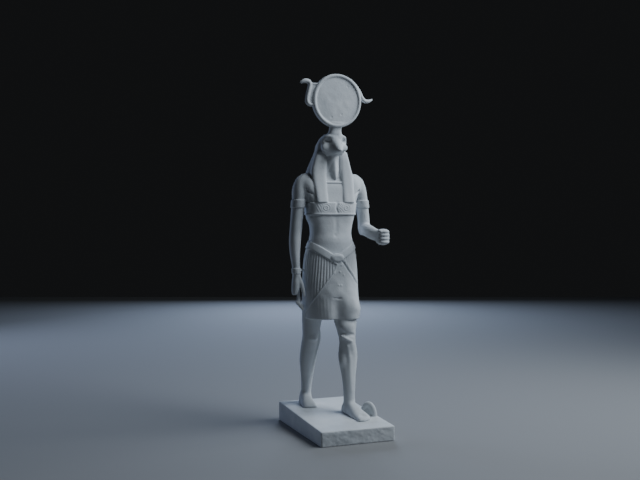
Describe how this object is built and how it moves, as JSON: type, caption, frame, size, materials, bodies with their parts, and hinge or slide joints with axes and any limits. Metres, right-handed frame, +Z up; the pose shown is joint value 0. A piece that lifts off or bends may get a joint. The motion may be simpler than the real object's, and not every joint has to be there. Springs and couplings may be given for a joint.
{
  "type": "deity statuette",
  "caption": "Falcon-headed striding god statuette with a sun-disc crown and coiled serpent, on a low rectangular wedge plinth; decorative shelf figure that stands on its flat underside.",
  "frame": {"origin": "centre of the plinth's flat underside", "axes": "+Z up, -Y the way the figure faces, +X the figure's left"},
  "size_m": [0.0736, 0.106, 0.3003],
  "materials": {
    "cast_plaster": "matte, slightly chalky white plaster"
  },
  "bodies": {
    "root": {"figure": "cast_plaster", "plinth": "cast_plaster"}
  },
  "joints": []
}
